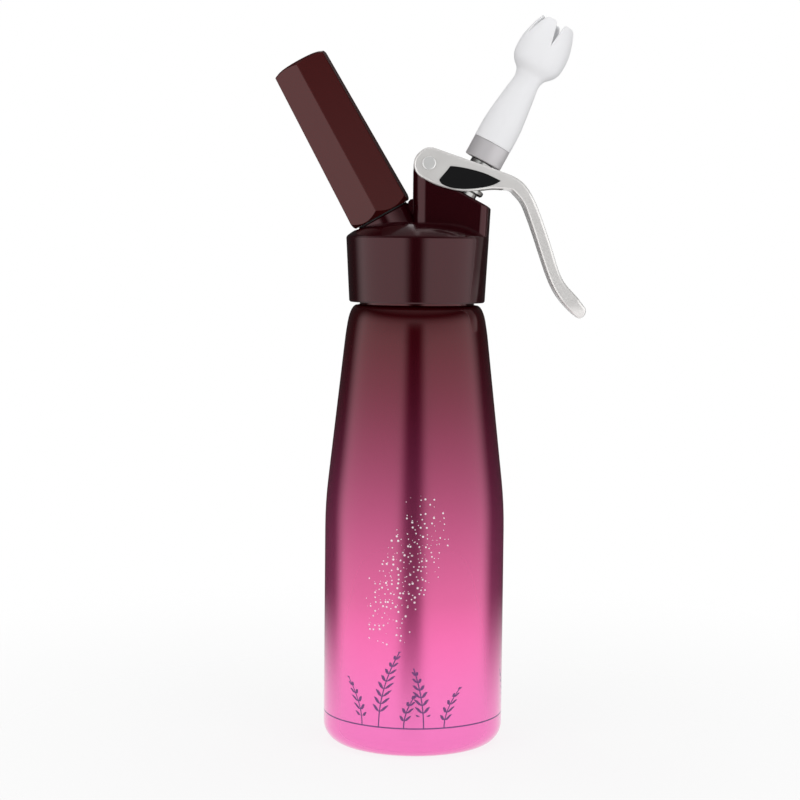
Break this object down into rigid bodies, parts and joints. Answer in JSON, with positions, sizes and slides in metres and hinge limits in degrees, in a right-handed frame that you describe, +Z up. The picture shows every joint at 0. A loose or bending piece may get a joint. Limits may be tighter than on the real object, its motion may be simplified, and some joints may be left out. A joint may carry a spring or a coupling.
{
  "type": "whipped cream dispenser",
  "caption": "Pressurised cream whipper: tapered bottle, screw-on head with lever valve, slanted gas charger holder and slit tulip nozzle.",
  "frame": {"origin": "centre of the bottle's foot, on the plane it stands on", "axes": "+Z up along the bottle, +X towards the lever and the nozzle, -X towards the charger holder"},
  "size_m": [0.1349, 0.0784, 0.3175],
  "materials": {
    "gradient_lacquer": "glossy lacquer over aluminium, maroon at the top to pink at the foot",
    "brown_lacquer": "satin maroon-brown lacquer on cast aluminium",
    "holder_lacquer": "satin brown lacquer on machined aluminium",
    "lever_chrome": "polished chrome on a casting",
    "pin_chrome": "polished",
    "stainless": "turned stainless steel",
    "brushed_collar": "brushed, turned",
    "frosted_white_plastic": "milky white moulded plastic",
    "black_plastic": "fine satin",
    "black_rubber": "matte",
    "white_silicone": "matte silicone",
    "charger_steel": "drawn zinc-plated steel",
    "brass": "turned"
  },
  "bodies": {
    "bottle": {"bottle": "gradient_lacquer"},
    "seal_ring": {"head_gasket": "white_silicone"},
    "head": {"head": "brown_lacquer", "valve_bush": "stainless", "valve_spring": "stainless", "piercing_pin": "brass", "pin_seal": "black_rubber", "port_ring": "black_rubber", "gas_inlet_nut": "brass", "check_valve_sleeve": "white_silicone"},
    "lever": {"lever": "lever_chrome", "lever_inlay_front": "black_plastic", "lever_inlay_back": "black_plastic", "pivot_pin": "pin_chrome", "pivot_screw": "pin_chrome"},
    "valve": {"valve_stem": "stainless", "stem_o_ring": "black_rubber", "piston_seal": "black_rubber", "seal_nut": "stainless", "press_collar": "stainless"},
    "nozzle_washer": {"nozzle_gasket": "white_silicone"},
    "nozzle": {"nozzle_collar": "brushed_collar", "nozzle_tip": "frosted_white_plastic"},
    "charger": {"charger": "charger_steel"},
    "holder": {"charger_holder": "holder_lacquer"}
  },
  "joints": [
    {"name": "head_lift", "type": "slide", "parent": "bottle", "child": "seal_ring", "axis": [0, 0, 1], "range_m": [0, 0.01]},
    {"name": "head_turn", "type": "hinge", "parent": "seal_ring", "child": "head", "pos_m": [0, 0, 0.2], "axis": [0, 0, 1], "range_deg": [0, 900.1]},
    {"name": "lever_pivot", "type": "hinge", "parent": "head", "child": "lever", "pos_m": [0.0045, 0, 0.2531], "axis": [0, 1, 0], "range_deg": [0, 7.2]},
    {"name": "valve_travel", "type": "slide", "parent": "head", "child": "valve", "axis": [-0.4726, 0, -0.8813], "range_m": [0, 0.0025], "stiffness_N_per_m": 1500, "springref_m": -0.004, "deforming": ["valve_spring"]},
    {"name": "nozzle_travel", "type": "slide", "parent": "valve", "child": "nozzle_washer", "axis": [0.4726, 0, 0.8813], "range_m": [0, 0.006]},
    {"name": "nozzle_turn", "type": "hinge", "parent": "nozzle_washer", "child": "nozzle", "pos_m": [0.02813, 0, 0.255], "axis": [0.4726, 0, 0.8813], "range_deg": [0, 1080.1]},
    {"name": "charger_travel", "type": "slide", "parent": "head", "child": "charger", "axis": [-0.4889, 0, 0.8723], "range_m": [0, 0.00875]},
    {"name": "holder_turn", "type": "hinge", "parent": "charger", "child": "holder", "pos_m": [-0.02381, 0, 0.24598], "axis": [-0.4889, 0, 0.8723], "range_deg": [0, 1260.1]}
  ],
  "couplings": [
    {"joint": "head_turn", "follows": "head_lift", "rad_per_m": 1570.8},
    {"joint": "holder_turn", "follows": "charger_travel", "rad_per_m": 2513.3},
    {"joint": "nozzle_turn", "follows": "nozzle_travel", "rad_per_m": 3141.6},
    {"joint": "lever_pivot", "follows": "valve_travel", "rad_per_m": 50.18}
  ]
}
